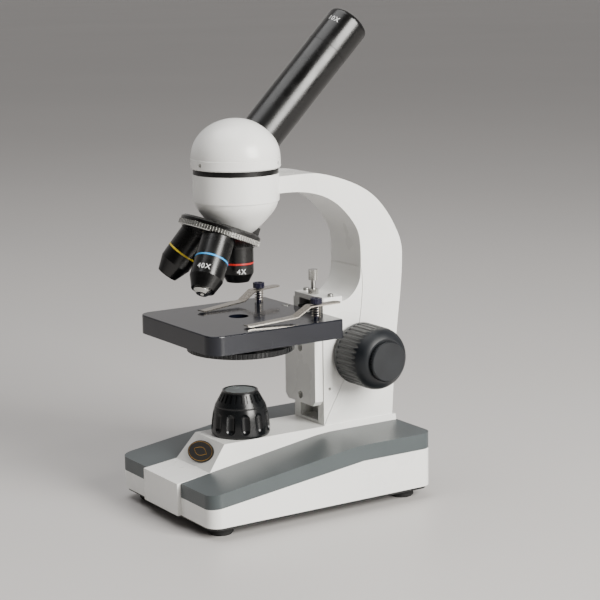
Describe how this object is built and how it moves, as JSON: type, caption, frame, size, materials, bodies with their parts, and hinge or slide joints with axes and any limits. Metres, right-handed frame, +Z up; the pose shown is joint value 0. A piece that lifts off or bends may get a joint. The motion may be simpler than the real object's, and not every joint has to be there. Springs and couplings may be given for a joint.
{
  "type": "compound light microscope",
  "caption": "Upright student's microscope: slanted single eyepiece, turret of objectives, square stage with clips, rack focus and a lamp in a broad foot.",
  "frame": {"origin": "on the table, centred under the whole object's box", "axes": "+Z up, front with the lamp and badge towards -Y, arm towards +Y, +X to the right seen from the front"},
  "size_m": [0.1124, 0.166, 0.2979],
  "materials": {
    "white_paint": "gloss enamel",
    "grey_plastic": "satin moulded",
    "black_plate": "satin black paint",
    "rubber": "matte",
    "steel": "satin",
    "badge": "gloss with gold print",
    "black_plastic": "moulded",
    "lens_frosted": "frosted",
    "lens_clear": "polished and coated",
    "board_green": "solder mask",
    "led_white": "clear resin",
    "wire_black": "insulation",
    "stage_black": "gloss black lacquer",
    "tube_black": "satin black anodised",
    "bronze": "sintered",
    "chrome_plate": "bright plate",
    "knob_plastic": "moulded, fine texture",
    "spring_steel": "bright spring steel",
    "blued_plastic": "moulded"
  },
  "bodies": {
    "base": {"base_body": "white_paint", "left_wing_cover": "grey_plastic", "right_wing_cover": "grey_plastic", "bottom_plate": "black_plate", "rubber_feet": "rubber", "frame_screws": "steel", "badge": "badge", "lamp_housing": "black_plastic", "lamp_collar": "black_plastic", "field_lens": "lens_frosted", "led_board": "board_green", "led": "led_white", "driver_board": "board_green", "dc_socket": "black_plastic", "switch_housing": "black_plastic", "wiring": "wire_black", "arm": "white_paint", "focus_housing": "white_paint", "stop_plate": "white_paint", "lock_nut": "chrome_plate", "shaft_bushes": "bronze", "nose_bowl": "white_paint", "nosepiece_plate": "tube_black", "detent_ball": "chrome_plate", "turret_screw": "steel", "head_ring": "tube_black"},
    "power_rocker": {"switch_rocker": "black_plastic"},
    "focus_stop": {"stop_screw": "chrome_plate"},
    "coarse_focus": {"coarse_shaft": "steel", "left_coarse_knob": "knob_plastic", "right_coarse_knob": "knob_plastic"},
    "fine_focus": {"fine_shaft": "steel", "left_fine_knob": "knob_plastic", "right_fine_knob": "knob_plastic"},
    "stage_slide": {"slide": "black_plate", "rack": "steel", "carrier": "white_paint", "stage_screws": "steel", "stage": "stage_black", "clip_posts": "blued_plastic", "clip_springs": "spring_steel", "condenser_lens": "lens_clear", "diaphragm_screw": "steel"},
    "clip_left": {"left_clip": "spring_steel"},
    "clip_right": {"right_clip": "spring_steel"},
    "light_stop_disc": {"diaphragm_disc": "black_plastic"},
    "nosepiece": {"turret": "chrome_plate", "objective_4x": "tube_black", "objective_10x": "tube_black", "objective_40x": "tube_black", "objective_lenses": "lens_clear"},
    "forty_nose": {"sprung_nose": "chrome_plate"},
    "head": {"head_collar": "white_paint", "head_screws": "steel", "head_dome": "white_paint", "prism_holder": "black_plate", "prism": "lens_clear", "eyepiece_tube": "tube_black"},
    "eyepiece": {"eyepiece": "tube_black", "eyepiece_lenses": "lens_clear"}
  },
  "joints": [
    {"name": "power_switch", "type": "hinge", "parent": "base", "child": "power_rocker", "pos_m": [0.03, 0.07775, 0.0195], "axis": [0, 0, 1], "range_deg": [0, 8]},
    {"name": "focus_stop_turn", "type": "hinge", "parent": "base", "child": "focus_stop", "pos_m": [0, 0.02745, 0.13], "axis": [0, 0, 1], "continuous": true},
    {"name": "stage_travel", "type": "slide", "parent": "base", "child": "stage_slide", "axis": [0, 0, 1], "range_m": [-0.011, 0.004]},
    {"name": "coarse_turn", "type": "hinge", "parent": "base", "child": "coarse_focus", "pos_m": [0, 0.04895, 0.0878], "axis": [1, 0, 0], "range_deg": [-40, 107]},
    {"name": "fine_turn", "type": "hinge", "parent": "coarse_focus", "child": "fine_focus", "pos_m": [0, 0.04895, 0.0878], "axis": [1, 0, 0], "continuous": true},
    {"name": "clip_left_swing", "type": "hinge", "parent": "stage_slide", "child": "clip_left", "pos_m": [-0.0325, 0.00795, 0.1249], "axis": [0, 0, 1], "range_deg": [-25, 12]},
    {"name": "clip_right_swing", "type": "hinge", "parent": "stage_slide", "child": "clip_right", "pos_m": [0.0325, 0.00795, 0.1249], "axis": [0, 0, 1], "range_deg": [-24, 13]},
    {"name": "light_stop_turn", "type": "hinge", "parent": "stage_slide", "child": "light_stop_disc", "pos_m": [0.0135, -0.03355, 0.102], "axis": [0, 0, 1], "continuous": true},
    {"name": "nosepiece_turn", "type": "hinge", "parent": "base", "child": "nosepiece", "pos_m": [0, -0.03745, 0.17205], "axis": [0, 0.3633, 0.9317], "continuous": true},
    {"name": "forty_nose_spring", "type": "slide", "parent": "nosepiece", "child": "forty_nose", "axis": [-0.3146, 0.5077, 0.8021], "range_m": [0, 0.0011], "stiffness_N_per_m": 600},
    {"name": "head_turn", "type": "hinge", "parent": "base", "child": "head", "pos_m": [0, -0.02655, 0.21], "axis": [0, 0, 1], "continuous": true},
    {"name": "eyepiece_lift", "type": "slide", "parent": "head", "child": "eyepiece", "axis": [0, 0.7071, 0.7071], "range_m": [0, 0.025]}
  ],
  "couplings": [
    {"joint": "coarse_turn", "follows": "stage_travel", "rad_per_m": -166.67}
  ]
}
